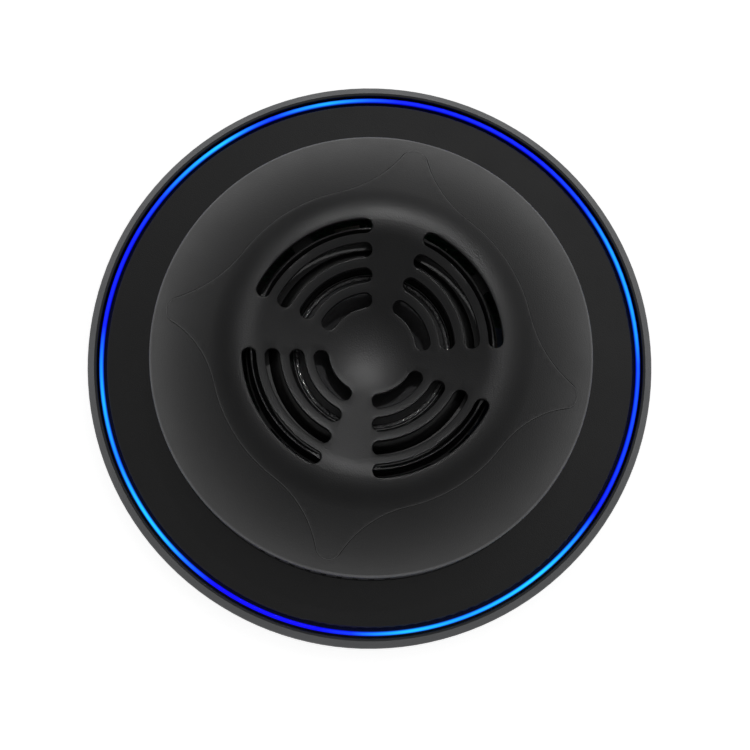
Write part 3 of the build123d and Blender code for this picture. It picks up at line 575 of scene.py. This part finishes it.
# Reset button: a smooth black acetal pin in the housing's floor, which slides in its hole against the
# switch on the board above it.
button_acetal = moulded("button_acetal", (0.016, 0.016, 0.017), 0.30, grain=3000.0, depth=0.00002)
finish_nodes(button_acetal, "reset_button")


# Loudspeaker: a black-lacquered pressed steel basket, a pressed paper cone with a rubber surround, and a
# ferrite magnet between plated plates. It hangs from four posts under the cover, with a foam gasket on its
# rim.
lacquer = start_material("lacquer", (0.006, 0.006, 0.0065), 0.36, gloss=0.4)
roughen_by(lacquer, noise_in(lacquer, 200.0, 4.0), 0.30, 0.44)
raise_by(lacquer, noise_in(lacquer, 700.0, 2.0), 0.00004, 0.5)
tint_by(lacquer, noise_in(lacquer, 50.0), (0.005, 0.005, 0.0055), (0.008, 0.008, 0.0085))
finish_nodes(lacquer, "speaker_basket")
foam = start_material("foam", (0.006, 0.006, 0.006), 0.95, gloss=0.2)
cells = add_node(foam.node_tree, "TexVoronoi")
cells.inputs["Scale"].default_value = 2600.0
join(foam.node_tree, (placed(foam), cells.inputs["Vector"]))
tint_by(foam, cells.outputs["Distance"], (0.003, 0.003, 0.003), (0.012, 0.012, 0.012))
raise_by(foam, cells.outputs["Distance"], 0.0002, 0.8)
finish_nodes(foam, "speaker_gasket")
surround_rubber = moulded("surround_rubber", (0.005, 0.005, 0.0052), 0.38, grain=1200.0, depth=0.00003,
                          gloss=0.45)
finish_nodes(surround_rubber, "surround")
cone_paper = start_material("cone_paper", (0.030, 0.030, 0.031), 0.46, gloss=0.5)
fibres = noise_in(cone_paper, 1400.0, 6.0, (1, 1, 0.3))
tint_by(cone_paper, fibres, (0.024, 0.024, 0.025), (0.038, 0.038, 0.040))
roughen_by(cone_paper, fibres, 0.42, 0.58)
raise_by(cone_paper, fibres, 0.00006, 0.5)
finish_nodes(cone_paper, "speaker_cone", "dust_cap")
thread_pitch = 0.0006
spider_cloth = striped("spider_cloth", (0.30, 0.17, 0.05), (0.46, 0.29, 0.11), thread_pitch, 0.85)
raise_by(spider_cloth, bands_in(spider_cloth, thread_pitch, "Y").outputs["Fac"], 0.0001, 0.6)
finish_nodes(spider_cloth, "spider")
zinc_plate = metal("zinc_plate", (0.56, 0.56, 0.55), 0.34, scale=500.0)
finish_nodes(zinc_plate, "top_plate", "back_plate")
copper_winding = striped("copper_winding", (0.45, 0.16, 0.06), (0.80, 0.36, 0.16), 0.0003, 0.30,
                         direction="Z", metal_share=1.0)
finish_nodes(copper_winding, "voice_coil")
lead_sleeve = moulded("lead_sleeve", (0.30, 0.012, 0.010), 0.36, grain=1500.0, depth=0.00002)
finish_nodes(lead_sleeve, "speaker_leads")


# Glue bead: the line of black adhesive, laid by hand, that joins the cone's edge to the surround. It has
# set glossy and a little uneven, and it travels with the cone.
bead_radius, bead_thick, bead_flatness = 0.0230, 0.00080, 0.6
bead_waver = 0.00012
cone_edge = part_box("speaker_cone")[1][2]
bpy.ops.object.select_all(action="DESELECT")
bpy.ops.mesh.primitive_torus_add(major_radius=bead_radius, minor_radius=bead_thick, major_segments=240,
                                 minor_segments=12, location=(0, 0, cone_edge))
bead = bpy.context.object
bead.name = "cone_glue_bead"
bpy.ops.object.mode_set(mode="EDIT")
bpy.ops.mesh.select_all(action="SELECT")
bpy.ops.transform.resize(value=(1, 1, bead_flatness), center_override=(0, 0, cone_edge))
bpy.ops.transform.vertex_random(offset=bead_waver, uniform=0.2, normal=0.8, seed=7)
bpy.ops.mesh.vertices_smooth(factor=0.5, repeat=1)
bpy.ops.object.mode_set(mode="OBJECT")
bpy.ops.object.shade_smooth()
bpy.ops.object.transform_apply(location=True, rotation=True, scale=True)
set_glue = start_material("set_glue", (0.010, 0.010, 0.011), 0.10, gloss=1.0)
drips = noise_in(set_glue, 900.0, 4.0)
roughen_by(set_glue, drips, 0.05, 0.25)
tint_by(set_glue, drips, (0.006, 0.006, 0.0065), (0.030, 0.030, 0.032))
raise_by(set_glue, drips, 0.0005, 1.0)
bead.data.materials.append(set_glue)
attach(bead, "cone")
